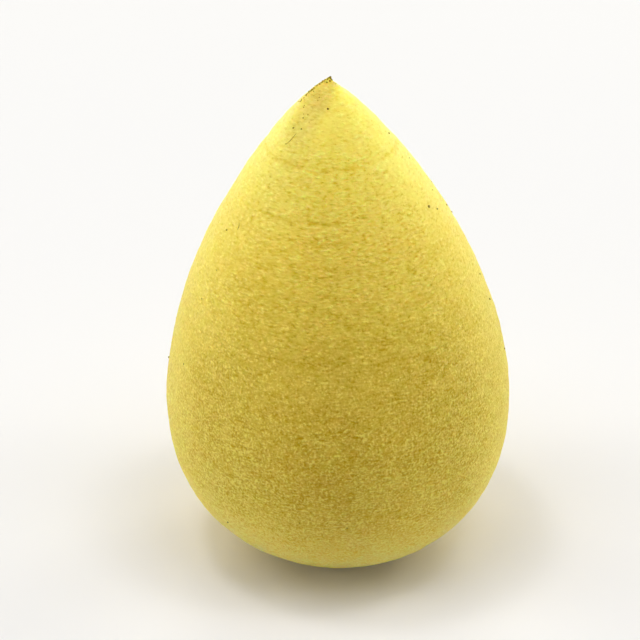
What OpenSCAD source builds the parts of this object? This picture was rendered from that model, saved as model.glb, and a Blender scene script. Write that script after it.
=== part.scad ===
// Teardrop makeup sponge
// One piece of open-cell foam, ground to shape all round, standing on its round base.
// Millimetres, +Z up, origin at the centre of the face it rests on.

/* [Sponge] */
// Height from the rest face to the tip
sponge_h = 60; // [50:0.5:80]
// Diameter at the belly, the widest place
belly_d = 41.6; // [34:0.1:50]
// Height of the belly above the rest face
belly_z = 20.1; // [16:0.1:26]
// Depth that standing presses off the round base
rest_flat = 0.5; // [0.3:0.1:1]

/* [Outline] */
// Fullness of the base below the belly, where 2 is an ellipse and more is squarer
base_fullness_share = 2.35; // [2:0.05:3]
// Fullness of the shoulder above the belly, where less starts to narrow sooner
shoulder_fullness_share = 1.7; // [1.4:0.05:2.2]
// Roundness of the tip, where 1 is a plain cone point and less is rounder
tip_roundness_share = 0.84; // [0.7:0.02:1]

/* [Hidden] */
$fn = 128;
belly_r = belly_d / 2;
taper_h = sponge_h - belly_z;
// Straight steps that stand for each curve of the outline
base_steps = 20;
taper_steps = 28;

// Angle at which the whole base curve, which ends at 90 at the belly, meets the rest face
rest_angle = acos(pow(belly_z / (belly_z + rest_flat), base_fullness_share / 2));

// Base curve at an angle: a superellipse from below the rest face up to the belly
function base_point(angle) = [
    belly_r * pow(sin(angle), 2 / base_fullness_share),
    belly_z - (belly_z + rest_flat) * pow(cos(angle), 2 / base_fullness_share)
];

// Taper at a share of the way up from the belly to the tip
function taper_point(way) = [
    belly_r * pow(1 - pow(way, shoulder_fullness_share), tip_roundness_share),
    belly_z + taper_h * way
];

// Half of the sponge's section: the rest face, the base curve and the taper,
// whose steps get shorter towards the tip
function outline() = concat(
    [[0, 0]],
    [for (i = [0:base_steps - 1]) base_point(rest_angle + (90 - rest_angle) * i / base_steps)],
    [for (i = [0:taper_steps - 1]) taper_point(1 - pow(1 - i / taper_steps, 2))],
    [[0, sponge_h]]
);

// The sponge: solid foam, turned about the upright axis
module foam_body()
    color([0.93, 0.86, 0.42])
        rotate_extrude() polygon(outline());

foam_body();
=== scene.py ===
import math
from itertools import product

import bpy
import numpy as np
from mathutils import Matrix, Vector
from mathutils.bvhtree import BVHTree


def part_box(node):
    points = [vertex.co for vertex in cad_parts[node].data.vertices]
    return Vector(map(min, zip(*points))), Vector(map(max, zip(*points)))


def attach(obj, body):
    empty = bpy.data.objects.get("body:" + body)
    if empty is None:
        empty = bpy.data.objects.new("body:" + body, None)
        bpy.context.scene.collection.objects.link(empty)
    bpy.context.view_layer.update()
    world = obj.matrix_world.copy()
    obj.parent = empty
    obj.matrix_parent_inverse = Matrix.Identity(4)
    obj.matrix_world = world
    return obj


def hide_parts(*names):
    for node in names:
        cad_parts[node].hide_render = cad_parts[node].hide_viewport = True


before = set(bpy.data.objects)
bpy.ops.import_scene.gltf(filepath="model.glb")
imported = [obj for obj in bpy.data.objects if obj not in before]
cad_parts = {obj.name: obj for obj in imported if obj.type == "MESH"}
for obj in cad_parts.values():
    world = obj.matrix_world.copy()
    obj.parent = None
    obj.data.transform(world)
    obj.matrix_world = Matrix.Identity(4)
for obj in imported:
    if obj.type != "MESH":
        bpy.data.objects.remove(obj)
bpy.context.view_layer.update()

# Camera
# It stands 22 cm from the sponge, looks down at it and is turned a little to its left.
# It aims at the middle of the sponge's height and is then turned by the two small angles.
camera_distance = 0.220
camera_elevation = math.radians(28)
camera_turn_left = math.radians(0.60)
camera_tip_down = math.radians(0.12)
sensor_width = 0.036
lens_length = 0.1037
picture_side = 640
mm_per_m = 1000

rest_corner, top_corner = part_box("foam_body")
aim = Vector((0, 0, (rest_corner.z + top_corner.z) / 2))
forward = Vector((0, math.cos(camera_elevation), -math.sin(camera_elevation)))
right = Vector((1, 0, 0))
camera_place = aim - forward * camera_distance
turn = Matrix.Rotation(camera_turn_left, 3, right.cross(forward))
forward, right = turn @ forward, turn @ right
forward = Matrix.Rotation(-camera_tip_down, 3, right) @ forward
above = right.cross(forward)

camera = bpy.data.objects.new("camera", bpy.data.cameras.new("camera"))
camera.data.sensor_width = sensor_width * mm_per_m
camera.data.lens = lens_length * mm_per_m
camera.matrix_world = Matrix((right, above, -forward)).transposed().to_4x4()
camera.location = camera_place
bpy.context.scene.collection.objects.link(camera)
bpy.context.scene.camera = camera

# Foam body
# One solid piece of open-cell polyurethane foam, ground to a teardrop on a spinning holder.
# The grinding leaves a crumbly nap, fine broken rings below the tip and a scuffed flat beside it.
foam_height = top_corner.z
belly_radius = top_corner.x
belly_height = 0.0201
rest_cut = 0.0005
base_fullness = 2.35
shoulder_fullness = 1.7
tip_roundness = 0.84

# The mesh is a ball's grid of faces laid along the outline, crowded towards the tip.
outline_steps = 2000
grid_count = 128
tip_crowding = 1.35
merge_digits = 7
slope_count = 256
noise_gain = 1.5


def outline():
    """Distances along the half section from the tip to the middle of the base, with radii and heights there.

    The taper's radius is the belly's times (1 - way**shoulder)**roundness, where way runs from belly to tip.
    The base is a superellipse that would reach rest_cut below the floor, and the rest face closes it flat.
    """
    way = 1 - np.linspace(0, 1, outline_steps) ** 2
    taper = belly_radius * (1 - way**shoulder_fullness) ** tip_roundness
    taper_z = belly_height + (foam_height - belly_height) * way
    whole = belly_height + rest_cut
    rest_angle = math.acos((belly_height / whole) ** (base_fullness / 2))
    angle = np.linspace(math.pi / 2, rest_angle, outline_steps)[1:]
    base = belly_radius * np.sin(angle) ** (2 / base_fullness)
    base_z = belly_height - whole * np.maximum(np.cos(angle), 0) ** (2 / base_fullness)
    radius = np.concatenate([taper, base, [0]])
    height = np.concatenate([taper_z, base_z, [0]])
    steps = np.hypot(np.diff(radius), np.diff(height))
    return np.concatenate([[0], np.cumsum(steps)]), radius, height


def even_ball(count):
    """Directions and four-sided faces of a ball with no poles.

    Each face of a cube is a grid of equal angles, pushed out to the ball, and shared edges are merged.
    """
    side = np.tan(np.linspace(-math.pi / 4, math.pi / 4, count + 1))
    u, v = (g.ravel() for g in np.meshgrid(side, side, indexing="ij"))
    one = np.ones_like(u)
    sides = [(one, u, v), (-one, v, u), (v, one, u), (u, -one, v), (u, v, one), (v, u, -one)]
    directions = np.concatenate([np.stack(s, -1) for s in sides])
    directions /= np.linalg.norm(directions, axis=1)[:, None]
    corner = (np.arange(count)[:, None] * (count + 1) + np.arange(count)).ravel()
    quad = np.stack([corner, corner + count + 1, corner + count + 2, corner + 1], -1)
    faces = np.concatenate([quad + i * len(u) for i in range(len(sides))])
    rounded = np.round(directions, merge_digits)
    first, place = np.unique(rounded, axis=0, return_index=True, return_inverse=True)[1:]
    return directions[first], place.ravel()[faces]


def lumps(points, size, seed):
    """Smooth noise of about -1 to 1, with lumps about size across.

    Each corner of a lattice takes a random slope from a list, and the slopes of a cell's eight corners are
    blended by a smooth step of the fifth degree.
    """
    chance = np.random.default_rng(seed)
    order = chance.permutation(slope_count)
    slopes = chance.normal(size=(slope_count, 3))
    slopes /= np.linalg.norm(slopes, axis=1)[:, None]
    last = slope_count - 1
    cell = np.floor(points / size).astype(int)
    local = points / size - cell
    fade = local**3 * (local * (local * 6 - 15) + 10)
    total = np.zeros(len(points))
    for corner in product((0, 1), repeat=3):
        x, y, z = (cell + corner).T & last
        slope = slopes[order[(x + order[(y + order[z]) & last]) & last]]
        total += (slope * (local - corner)).sum(1) * np.where(corner, fade, 1 - fade).prod(1)
    return total * noise_gain


def smooth_step(x, low, high):
    """0 below low, 1 above high, and a smooth rise between."""
    t = np.clip((x - low) / (high - low), 0, 1)
    return t * t * (3 - 2 * t)


def hump(x, spread):
    """A smooth hump: 1 at zero, and dying away over spread on both sides."""
    return np.exp(-((x / spread) ** 2))


arc, radius, height = outline()
directions, faces = even_ball(grid_count)
share_down = np.arccos(np.clip(directions[:, 2], -1, 1)) / math.pi
along = share_down**tip_crowding * arc[-1]
around = np.arctan2(directions[:, 1], directions[:, 0])
r = np.interp(along, arc, radius)
z = np.interp(along, arc, height)
slope_r = np.interp(along, arc, np.gradient(radius, arc))
slope_z = np.interp(along, arc, np.gradient(height, arc))
outward = np.stack([-slope_z * np.cos(around), -slope_z * np.sin(around), slope_r], -1)
surface = np.stack([r * np.cos(around), r * np.sin(around), z], -1)

# Hand-ground unevenness: long swells, dents that run a little round the body, and tufts of the nap
swell_size = 0.016
swell_depth = 0.00012
dent_size = 0.0030
dent_depth = 0.00007
tuft_size = 0.0010
tuft_depth = 0.00005
round_stretch = np.array([1.6, 1.6, 1.0])
relief = swell_depth * lumps(surface, swell_size, seed=17)
relief += dent_depth * lumps(surface / round_stretch, dent_size, seed=13)
relief += tuft_depth * lumps(surface / round_stretch, tuft_size, seed=31)

# Where the grinding wheel paused: shallow grooves that waver and fade as they go round.
# The topmost one never fades away altogether.
ring_heights = np.array([0.0274, 0.0285, 0.0335, 0.0386, 0.0421, 0.0454, 0.0474, 0.0524])
ring_strengths = np.array([0.15, 0.15, 0.2, 0.3, 0.2, 0.2, 0.4, 0.8])
groove_width = 0.00045
groove_depth = 0.00008
long_waver_size = 0.012
long_waver = 0.00025
short_waver_size = 0.0024
short_waver = 0.00010
gap_size = 0.0040
gap_edges = (-0.50, 0.15)
top_ring_from = (0.0495, 0.0505)
top_ring_least = 0.45
turning = z + long_waver * lumps(surface, long_waver_size, seed=19)
turning += short_waver * lumps(surface, short_waver_size, seed=21)
fading = smooth_step(lumps(surface / round_stretch, gap_size, seed=23), *gap_edges)
fading = np.maximum(fading, top_ring_least * smooth_step(z, *top_ring_from))
for ring_height, ring_strength in zip(ring_heights, ring_strengths):
    relief -= groove_depth * ring_strength * fading * hump(turning - ring_height, groove_width)
foam_points = surface + outward * relief[:, None]

# The scuffed flat beside the tip, on the camera's left, cut by a plane with a softened edge
scuff_height = 0.0560
scuff_around = math.radians(-127)
scuff_tilt = math.radians(47)
scuff_depth = 0.00025
scuff_softness = 0.00010
scuff_r = np.interp(-scuff_height, -height[:outline_steps], radius[:outline_steps])
scuff_side = np.array([math.cos(scuff_around), math.sin(scuff_around), 0])
scuff_normal = scuff_side * math.cos(scuff_tilt) + np.array([0, 0, math.sin(scuff_tilt)])
scuff_middle = scuff_side * scuff_r + np.array([0, 0, scuff_height])
beyond = (foam_points - scuff_middle) @ scuff_normal + scuff_depth
cut = scuff_softness * np.logaddexp(0, beyond / scuff_softness)
foam_points -= scuff_normal * cut[:, None]

# How dull the foam is there: a ragged band down the flat, the nib, a wide duller patch round the band, and
# one to its left.
# Each pair of numbers is where a change begins and ends, as a height or as a distance from the band's middle.
band_swing = math.radians(5)
band_swings = (0.0552, 0.0575)
band_ragged_size = 0.0014
band_ragged = 0.00030
band_edges = (0.00068, 0.00272)
band_from = (0.0525, 0.0552)
band_low = 0.38
band_more = 0.42
band_more_from = (0.0568, 0.0580)
nib_dull = 0.9
nib_dull_from = (0.0588, 0.0596)
dull_patch_most = 0.30
dull_patch_spread = math.radians(26)
dull_patch_swing = math.radians(24)
dull_patch_swings = (0.0535, 0.0575)
dull_patch_from = (0.0430, 0.0520)
dull_patch_left = math.radians(60)
dull_patch_left_from = (0.0540, 0.0565)
band_around = scuff_around - band_swing * (1 - smooth_step(z, *band_swings))
turned_off = (around - band_around + math.pi) % (2 * math.pi) - math.pi
from_middle = np.abs(r * turned_off) + band_ragged * lumps(surface, band_ragged_size, seed=29)
band = 1 - smooth_step(from_middle, *band_edges)
band *= smooth_step(z, *band_from) * (band_low + band_more * smooth_step(z, *band_more_from))
band = np.maximum(band, nib_dull * smooth_step(z, *nib_dull_from))
to_left = smooth_step(z, *dull_patch_swings) * dull_patch_swing
dull_patch = dull_patch_most * hump(turned_off + to_left, dull_patch_spread + to_left / 2) * smooth_step(z, *dull_patch_from)
dull_patch += dull_patch_most * hump(turned_off + dull_patch_left, dull_patch_spread) * smooth_step(z, *dull_patch_left_from)
scuff = 1 - (1 - band) * (1 - dull_patch)

# How strongly the nap stands out: most about the belly, less up the taper, and least by the tip.
# Below the upper taper the flanks have a little more of it, and their middles have less at any height.
coarse_low = 1.25
coarse_belly = 0.10
coarse_belly_from = (0.008, 0.018)
calm_taper = 0.42
calm_taper_from = (0.030, 0.050)
calm_tip = 0.33
calm_tip_from = (0.052, 0.057)
coarse_flank = 0.18
coarse_flank_edges = (0.25, 0.60)
coarse_flank_ends = (0.036, 0.042)
calm_flank = 0.38
calm_flank_edges = (0.68, 0.95)
flank = np.abs(np.cos(around))
coarse = coarse_low + coarse_belly * smooth_step(z, *coarse_belly_from)
coarse *= 1 - calm_taper * smooth_step(z, *calm_taper_from)
coarse *= 1 - calm_tip * smooth_step(z, *calm_tip_from)
below_taper = 1 - smooth_step(z, *coarse_flank_ends)
coarse *= 1 + coarse_flank * smooth_step(flank, *coarse_flank_edges) * below_taper
coarse *= 1 - calm_flank * smooth_step(flank, *calm_flank_edges)

# The lean of the whole body, the bend of its tip, and the small nib left standing on it
tip_lean = -0.00049
tip_bend = -0.00085
bend_from_share = 0.35
nib_reach = 0.00045
nib_rise = 0.00032
nib_side = 0.00028
share_up = z / foam_height
foam_points[:, 0] += tip_lean * share_up
foam_points[:, 0] += tip_bend * np.clip((share_up - bend_from_share) / (1 - bend_from_share), 0, 1) ** 2
nib = hump(along, nib_reach)
foam_points[:, 0] += nib_side * nib
foam_points[:, 2] += nib_rise * nib
foam_points[:, 2] = np.maximum(foam_points[:, 2], 0)


def new_piece(name, points, faces):
    """A smooth-shaded mesh object in the scene, with its place in its mesh."""
    mesh = bpy.data.meshes.new(name)
    mesh.vertices.add(len(points))
    mesh.vertices.foreach_set("co", np.asarray(points, np.float32).ravel())
    corners = faces.shape[1]
    mesh.loops.add(faces.size)
    mesh.loops.foreach_set("vertex_index", faces.astype(np.int32).ravel())
    mesh.polygons.add(len(faces))
    mesh.polygons.foreach_set("loop_start", np.arange(0, faces.size, corners, dtype=np.int32))
    mesh.polygons.foreach_set("use_smooth", np.ones(len(faces), bool))
    mesh.update(calc_edges=True)
    piece = bpy.data.objects.new(name, mesh)
    bpy.context.scene.collection.objects.link(piece)
    return piece


foam = new_piece("foam", foam_points, faces)
for mark_name, mark in (("scuff", scuff), ("turning", turning), ("fading", fading), ("coarse", coarse)):
    foam.data.attributes.new(mark_name, "FLOAT", "POINT").data.foreach_set("value", mark.astype(np.float32))


def set_stops(stops, places, colours):
    """Gives a ramp these colours at these places of 0 to 1, instead of its own two stops."""
    stops.remove(stops[1])
    stops[0].position = places[0]
    stops[0].color = (*colours[0], 1)
    for place, colour in zip(places[1:], colours[1:]):
        stops.new(place).color = (*colour, 1)


class Tint:
    """One output of a node in a material. Plus, minus and times on it add Math nodes."""

    def __init__(self, tree, socket=None):
        self.tree = tree
        self.socket = socket

    def node(self, kind, settings, sockets, output=0):
        """Adds a node, its settings first and then its sockets' values or links, and gives one output.

        A ramp's stops are a setting too: their places, and the colours there.
        """
        made = self.tree.nodes.new("ShaderNode" + kind)
        for name, value in settings.items():
            if name == "stops":
                set_stops(made.color_ramp.elements, *value)
            else:
                setattr(made, name, value)
        for name, value in sockets.items():
            if isinstance(value, Tint):
                self.tree.links.new(value.socket, made.inputs[name])
            else:
                made.inputs[name].default_value = value
        return Tint(self.tree, made.outputs[output])

    def math(self, operation, first, second):
        """A Math node on two numbers or outputs."""
        return self.node("Math", {"operation": operation}, {0: first, 1: second})

    def __add__(self, other):
        return self.math("ADD", self, other)

    def __mul__(self, other):
        return self.math("MULTIPLY", self, other)

    def __sub__(self, other):
        return self.math("SUBTRACT", self, other)

    def __rsub__(self, other):
        return self.math("SUBTRACT", other, self)

    __radd__ = __add__
    __rmul__ = __mul__

    def place(self):
        """The place on the object, in metres."""
        return self.node("TexCoord", {}, {}, "Object")

    def kept(self, mark_name):
        """A number kept on the points of the mesh."""
        return self.node("Attribute", {"attribute_name": mark_name}, {}, "Fac")

    def rise(self, low, high):
        """0 where this is below low, 1 above high, and a smooth rise between."""
        return self.node("MapRange", {"interpolation_type": "SMOOTHSTEP"}, {0: self, 1: low, 2: high})

    def away(self, middle):
        """How far this is from middle, up or down."""
        return self.math("ABSOLUTE", self - middle, 0.0)

    def scaled(self, across, up):
        """This place with its sideways and upward distances multiplied."""
        return self.node("VectorMath", {"operation": "MULTIPLY"}, {0: self, 1: (across, across, up)})

    def noise(self, size, detail=0.0):
        """Smooth noise of 0 to 1 at this place, with lumps about size across."""
        return self.node("TexNoise", {}, {"Vector": self, "Scale": 1 / size, "Detail": detail})

    def cells(self, spacing, output="Distance"):
        """How far this place is from the nearest of many scattered points, or that point's random colour."""
        return self.node("TexVoronoi", {}, {"Vector": self, "Scale": 1 / spacing}, output)

    def ramp(self, places, colours):
        """The colours at these places of 0 to 1, blended evenly from one place to the next."""
        return self.node("ValToRGB", {"stops": (places, colours)}, {0: self})

    def blend(self, first, second):
        """A colour between first and second, by this share."""
        return self.node("Mix", {"data_type": "RGBA"}, {0: self, 6: first, 7: second}, 2)

    def feed(self, socket):
        """Links this to a socket of the shader."""
        self.tree.links.new(self.socket, socket)


def new_material(piece, finish):
    """The shader of a new material on the piece, its constants set from finish, and a start for its nodes."""
    look = bpy.data.materials.new(piece.name)
    look.use_nodes = True
    piece.data.materials.append(look)
    shader = look.node_tree.nodes["Principled BSDF"]
    for socket, value in finish.items():
        shader.inputs[socket].default_value = value
    return shader, Tint(look.node_tree)


# Dull open foam: light soaks in and comes out yellower, and the nap's tips give its edges a faint sheen
foam_finish = {
    "Roughness": 0.9,
    "Specular IOR Level": 0.1,
    "Subsurface Weight": 0.8,
    "Subsurface Radius": (1.0, 0.55, 0.15),
    "Subsurface Scale": 0.010,
    "Subsurface Anisotropy": 0.5,
    "Sheen Weight": 0.25,
    "Sheen Roughness": 0.5,
    "Sheen Tint": (1.0, 1.0, 0.45, 1),
}
foam_shader, nodes = new_material(foam, foam_finish)
place = nodes.place()
tall = nodes.node("SeparateXYZ", {}, {0: place}, 2)

# The nap: crumbs that lie along the turning near the tip and are round lower down, and finer grains.
# Scattered in it are larger crumbs that stand out and small open pores, a spot of one kind or the other.
# Curls are thin lines where the noise passes its middle: bright low down, and dark near the tip.
noise_middle = 0.5
nap_turns = (0.018, 0.050)
crumb_size = 0.00026
crumb_stretch = 0.42
crumb_slope = 1.5
crumb_lift = 2.6
crumb_peak = 50.0
grain_spacing = 0.00027
grain_middle = 0.42
grain_weight = 0.33
spot_spacing = 0.00065
spot_edges = (0.12, 0.36)
spot_crumbs = (0.30, 0.60)
spot_weight = 1.224
curl_size = 0.00055
curl_width = 0.07
curl_middle = 0.35
curl_weight = 0.22
curl_turned = 0.40
tuft_weight = 0.38
patch_size = 0.0014
patch_edges = (0.30, 0.70)
patch_least = 0.80
patch_more = 0.40
scuff_coarse = 0.8

turned = tall.rise(*nap_turns)
lying = place.scaled(crumb_stretch, 1)
round_crumbs = place.noise(crumb_size, detail=2.0)
lying_crumbs = lying.noise(crumb_size, detail=2.0)
crumbs = (1 - turned) * round_crumbs + turned * lying_crumbs
fine = crumbs - noise_middle
peaked = fine * (crumb_slope + fine * ((1 - turned) * crumb_lift + fine * crumb_peak))
grains = grain_middle - lying.cells(grain_spacing)
spot_kind = lying.cells(spot_spacing, "Color") - noise_middle
spots = (1 - lying.cells(spot_spacing).rise(*spot_edges)) * spot_kind * crumbs.rise(*spot_crumbs)
curls = 1 - lying.noise(curl_size, detail=1.0).away(noise_middle).rise(0.0, curl_width) - curl_middle
tufts = lying.noise(tuft_size, detail=1.0) - noise_middle
scuff_share = nodes.kept("scuff")
patches = patch_least + patch_more * place.noise(patch_size, detail=1.0).rise(*patch_edges)
strength = nodes.kept("coarse") * patches * (1 + scuff_share * scuff_share * scuff_coarse)
nap = peaked + grains * grain_weight + spots * spot_weight + tufts * tuft_weight
nap = strength * (nap + curls * (curl_weight - turned * curl_turned))

# The crisp broken bottom of each groove, as a ramp over the wavering height kept on the mesh. It sinks the
# relief, and darkens the colour there as painted shade in the groove.
crease_half_width = 0.00016
crease_break_size = 0.0006
crease_break_edges = (0.30, 0.50)
crease_places = []
crease_depths = []
for ring_height, ring_strength in zip(ring_heights, ring_strengths):
    for offset, depth in ((-crease_half_width, 0), (0, ring_strength), (crease_half_width, 0)):
        crease_places.append((ring_height + offset) / foam_height)
        crease_depths.append((depth, depth, depth))
crease_ramp = (nodes.kept("turning") * (1 / foam_height)).ramp(crease_places, crease_depths)
breaks = lying.noise(crease_break_size, detail=1.0).rise(*crease_break_edges)
creases = crease_ramp * nodes.kept("fading") * breaks

# Colour: deep gold in the pores, lemon on the crumbs, duller on the scuffed flat and the patches about it,
# with broad faint clouds. The deep gold of the pores is partly painted shade in them, and the creases darken
# it further as painted shade in the grooves. The golds and lemons are given at these heights, from the base
# to the tip; they are darker about the belly and paler towards the base and the tip, partly as painted shade
# on the belly and painted light on the base and tip.
colour_heights = (0.005, 0.009, 0.014, 0.020, 0.026, 0.034, 0.045, 0.052, 0.059)
# Their darkness about the belly and their paleness at the base and tip are partly painted shade and painted
# light
pore_golds_and_painted_light = (
    (0.920, 0.630, 0.035), (0.810, 0.520, 0.017), (0.655, 0.425, 0.004), (0.625, 0.400, 0.004),
    (0.585, 0.382, 0.004), (0.565, 0.395, 0.008), (0.675, 0.502, 0.022), (0.745, 0.608, 0.045),
    (0.755, 0.625, 0.065))
crumb_lemons_and_painted_light = (
    (1.000, 0.855, 0.235), (1.000, 0.855, 0.207), (0.995, 0.860, 0.184), (0.995, 0.862, 0.186),
    (0.990, 0.845, 0.182), (0.962, 0.816, 0.182), (0.990, 0.875, 0.224), (0.995, 0.940, 0.265),
    (0.990, 0.945, 0.291))
scuff_gold = (0.510, 0.410, 0.060, 1)
scuff_cream = (0.800, 0.730, 0.210, 1)
cloud_size = 0.009
cloud_weight = 0.35
crease_painted_shade = 1.5
tone_gain = 0.76
tone_middle = 0.5
clouds = (place.noise(cloud_size, detail=1.0) - noise_middle) * cloud_weight
tone = (nap + clouds - crease_painted_shade * creases) * tone_gain + tone_middle
tone = nodes.node("Clamp", {}, {0: tone})
height_share = tall * (1 / foam_height)
colour_shares = [up / foam_height for up in colour_heights]
pore = height_share.ramp(colour_shares, pore_golds_and_painted_light)
crumb = height_share.ramp(colour_shares, crumb_lemons_and_painted_light)
colour = scuff_share.blend(tone.blend(pore, crumb), tone.blend(scuff_gold, scuff_cream))
colour.feed(foam_shader.inputs["Base Color"])

# The same nap and creases as fine relief, in millimetres
nap_relief = 0.24
crease_relief = 0.20
relief_height = nap * nap_relief - creases * crease_relief
bumps = nodes.node("Bump", {}, {"Height": relief_height, "Distance": 1 / mm_per_m})
bumps.feed(foam_shader.inputs["Normal"])
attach(foam, "root")
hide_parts("foam_body")

# Specks
# Dark grains of make-up powder and dust caught in the nap, most of them about the scuffed tip.
# Each is a tiny lump sunk over a third into the foam. Those on the camera's side lie under their pixels.
large_specks = ((391.5, 131.4), (428.4, 206.7), (505.4, 348.4), (169.2, 357.2), (492.7, 298))
small_specks = (
    (303.8, 107.3), (303.3, 118), (409, 158), (431.5, 182), (432.5, 190), (437, 209), (446.5, 205),
    (451.5, 212), (485, 272), (183.8, 364), (228, 522), (299.5, 523), (347, 528), (301.5, 129.2),
    (328, 109), (318, 100.6), (286, 144), (217, 270), (227, 230), (202, 299), (314, 96), (312, 107),
    (293.5, 128), (312, 90), (330, 81), (327, 82.5), (322.5, 82.5))
large_radius = 0.00014
small_radius = 0.00010
dust_radius = 0.00007
radius_spread = (0.7, 1.2)
grain_stretch = (0.6, 1.3)
grain_rough = (0.75, 1.2)
grain_proud = 0.25

# Fine dust crowds towards the tip along its two edges, each a bent line of pixels with its count of grains.
# A few grains lie on the scuffed flat, and some on the side that is turned away from the camera.
tip_edges = (
    (((331, 77), (323.3, 81.3), (316.2, 86.3), (308.2, 93.1), (299, 102.3)), 95),
    (((330.5, 78), (334, 82.5), (339, 87.5)), 7))
tip_edge_crowding = 1.7
tip_edge_scatter = 0.4
tip_dust_middle = (313, 103)
tip_dust_spread = (7, 10)
tip_dust_grains = 9
far_side_grains = 60
far_side_away = 0.03
far_side_lowest = 0.002
foam_tree = BVHTree.FromPolygons(foam_points.tolist(), faces.tolist())


def along_pixels(line, way):
    """Pixels part of the way along a bent line, where way counts its corners from 0."""
    return np.stack([np.interp(way, range(len(line)), one) for one in np.transpose(line)], -1)


def under_pixels(pixels):
    """Places on the foam where the lines of sight through pixels meet it, and which way it faces there.

    A line that misses it is taken where it passes the sponge's axis, and the foam nearest to that.
    """
    offsets = (np.asarray(pixels, float) - picture_side / 2) * sensor_width / picture_side / lens_length
    places, facings = [], []
    for sideways, downward in offsets:
        sight = (forward + right * sideways - above * downward).normalized()
        spot, facing = foam_tree.ray_cast(camera_place, sight)[:2]
        if spot is None:
            level_sight = Vector((sight.x, sight.y, 0))
            past = -camera_place.dot(level_sight) / level_sight.length_squared
            spot, facing = foam_tree.find_nearest(camera_place + sight * past)[:2]
        places.append(spot)
        facings.append(facing)
    return np.array(places), np.array(facings)


def grains_on(places, facings, radii, chance):
    """Points and faces of a lump on each place.

    Each is a 26-point ball, stretched and roughened by chance, with its middle a little proud of the foam.
    """
    ball, ball_faces = even_ball(2)
    stretch = chance.uniform(*grain_stretch, (len(places), 1, 3))
    rough = chance.uniform(*grain_rough, (len(places), len(ball), 1))
    middles = places + facings * radii[:, None] * grain_proud
    points = middles[:, None] + ball * stretch * rough * radii[:, None, None]
    starts = np.arange(len(places))[:, None, None] * len(ball)
    return points.reshape(-1, 3), (ball_faces + starts).reshape(-1, 4)


chance = np.random.default_rng(seed=41)
dust_pixels = [np.array(tip_dust_middle) + chance.normal(size=(tip_dust_grains, 2)) * tip_dust_spread]
for line, count in tip_edges:
    way = chance.random(count) ** tip_edge_crowding * (len(line) - 1)
    edge_pixels = along_pixels(line, way)
    dust_pixels.append(edge_pixels + chance.normal(0, tip_edge_scatter, edge_pixels.shape))
dust_pixels = np.concatenate(dust_pixels)
seen_pixels = np.concatenate([large_specks, small_specks, dust_pixels])
seen_counts = [len(large_specks), len(small_specks), len(dust_pixels)]
seen_radii = np.repeat([large_radius, small_radius, dust_radius], seen_counts)
seen_places, seen_facings = under_pixels(seen_pixels)
turned_away = ((np.array(camera_place) - foam_points) * outward).sum(1) < -far_side_away
far_side = np.flatnonzero(turned_away & (foam_points[:, 2] > far_side_lowest))
far_picks = chance.choice(far_side, far_side_grains, replace=False)
far_radii = chance.uniform(dust_radius, large_radius, far_side_grains)
speck_places = np.concatenate([seen_places, foam_points[far_picks]])
speck_facings = np.concatenate([seen_facings, outward[far_picks]])
speck_radii = np.concatenate([seen_radii, far_radii])
speck_radii *= chance.uniform(*radius_spread, len(speck_radii))
specks = new_piece("specks", *grains_on(speck_places, speck_facings, speck_radii, chance))

# Dry brown powder, darker in some lumps than in others
powder_dark = (0.20, 0.145, 0.022, 1)
powder_brown = (0.42, 0.32, 0.045, 1)
powder_lump = 0.0008
powder_edges = (0.3, 0.7)
speck_shader, nodes = new_material(specks, {"Roughness": 0.9, "Specular IOR Level": 0.05})
powder = nodes.place().noise(powder_lump).rise(*powder_edges).blend(powder_dark, powder_brown)
powder.feed(speck_shader.inputs["Base Color"])
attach(specks, "root")

# Lint
# Two fine dark textile fibres that cling to the nap on the camera's side, lying on it along their length.
# Each is a thin strand under its bent line of pixels, in the colours of the specks.
lint_lines = (((286, 144.5), (290.5, 140.5), (296.5, 133.5)), ((239.3, 222.6), (239.2, 226), (237.6, 230)))
lint_radius = 0.00004
lint_proud = 0.5
lint_steps = 14
lint_sides = 6
lint_end = 0.1
lint_shade_size = 0.0006


def strand(line):
    """Points and faces of a thin round strand laid on the foam under a bent line of pixels.

    It has rings of six points about its path. They narrow to both ends as the root of a sine, and two
    four-sided faces close each end.
    """
    path, facing = under_pixels(along_pixels(line, np.linspace(0, len(line) - 1, lint_steps)))
    path = path + facing * lint_radius * lint_proud
    ahead = np.gradient(path, axis=0)
    ahead /= np.linalg.norm(ahead, axis=1)[:, None]
    across = np.cross(ahead, facing)
    across /= np.linalg.norm(across, axis=1)[:, None]
    turn = np.linspace(0, 2 * math.pi, lint_sides, endpoint=False)[None, :, None]
    taper = np.sqrt(np.sin(np.linspace(lint_end, math.pi - lint_end, lint_steps)))[:, None, None]
    ring = across[:, None] * np.cos(turn) + facing[:, None] * np.sin(turn)
    points = path[:, None] + ring * taper * lint_radius
    step, side = np.meshgrid(np.arange(lint_steps - 1), np.arange(lint_sides), indexing="ij")
    corner = step * lint_sides + side
    beside = step * lint_sides + (side + 1) % lint_sides
    walls = np.stack([corner, beside, beside + lint_sides, corner + lint_sides], -1).reshape(-1, 4)
    cap = np.array([[3, 2, 1, 0], [5, 4, 3, 0]])
    far_cap = cap[:, ::-1] + (lint_steps - 1) * lint_sides
    return points.reshape(-1, 3), np.concatenate([walls, cap, far_cap])


strand_points, strand_faces = zip(*(strand(line) for line in lint_lines))
lint_faces = [faces + i * lint_steps * lint_sides for i, faces in enumerate(strand_faces)]
lint = new_piece("lint", np.concatenate(strand_points), np.concatenate(lint_faces))
lint_shader, nodes = new_material(lint, {"Roughness": 0.8})
fibre = nodes.place().noise(lint_shade_size).blend(powder_dark, powder_brown)
fibre.feed(lint_shader.inputs["Base Color"])
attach(lint, "root")

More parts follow.
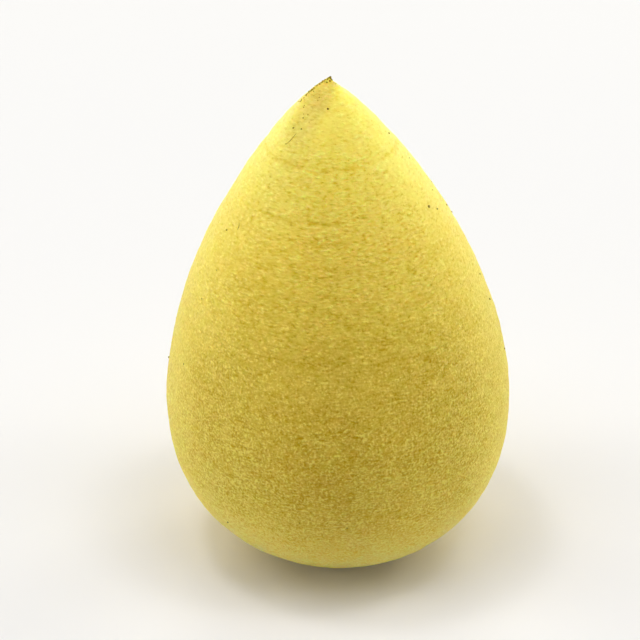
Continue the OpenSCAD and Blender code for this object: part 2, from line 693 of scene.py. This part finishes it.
# Floor
# A plain white sheet that the sponge stands on, wide enough to fill every view.
floor_half = 3.0
floor_white = (0.80, 0.795, 0.79, 1)
floor_corners = np.array([(-1, -1, 0), (1, -1, 0), (1, 1, 0), (-1, 1, 0)]) * floor_half
floor = new_piece("floor", floor_corners, np.array([[0, 1, 2, 3]]))
new_material(floor, {"Base Color": floor_white, "Roughness": 0.8, "Specular IOR Level": 0.0})

# Lamps and world
# Soft round lamps a metre away, named for where they are; low ones stand for pale walls.
# Each has its turn from the camera's side, its elevation, its width, its share of the power and its colour.
lamp_distance = 1.0
lamp_target = Vector((0, 0, 0.025))
lamp_power = 12.36
lamp_white = (1.0, 1.0, 1.035)
wall_cream = (1.0, 0.99, 0.90)
lamps = {
    "ceiling": (0, 90, 0.7, 0.181, lamp_white),
    "upper_right": (60, 62, 0.7, 0.219, lamp_white),
    "upper_left": (300, 62, 0.7, 0.235, lamp_white),
    "right_lamp": (75, 68, 0.18, 0.060, lamp_white),
    "left_lamp": (266, 75, 0.18, 0.087, lamp_white),
    "right_wall": (90, 12, 0.4, 0.243, wall_cream),
    "right_back_wall": (135, 12, 0.4, 0.324, wall_cream),
    "back_wall": (180, 12, 0.4, 0.335, wall_cream),
    "left_back_wall": (225, 12, 0.4, 0.195, wall_cream),
    "left_wall": (270, 12, 0.4, 0.325, wall_cream),
}
for lamp_name, (turned_by, raised_by, width, power_share, lamp_colour) in lamps.items():
    side_angle = math.radians(turned_by)
    up_angle = math.radians(raised_by)
    level = Vector((math.sin(side_angle), -math.cos(side_angle), 0))
    toward = level * math.cos(up_angle) + Vector((0, 0, math.sin(up_angle)))
    light = bpy.data.lights.new(lamp_name, "AREA")
    light.shape = "DISK"
    light.size = width
    light.color = lamp_colour
    light.energy = lamp_power * power_share
    lamp = bpy.data.objects.new(lamp_name, light)
    lamp.location = lamp_target + toward * lamp_distance
    lamp.rotation_mode = "QUATERNION"
    lamp.rotation_quaternion = toward.to_track_quat("Z", "Y")
    bpy.context.scene.collection.objects.link(lamp)

# The world gives no light of its own
world = bpy.data.worlds.new("world")
world.use_nodes = True
world.node_tree.nodes["Background"].inputs["Strength"].default_value = 0.0
bpy.context.scene.world = world
bpy.context.scene.view_settings.view_transform = "Standard"
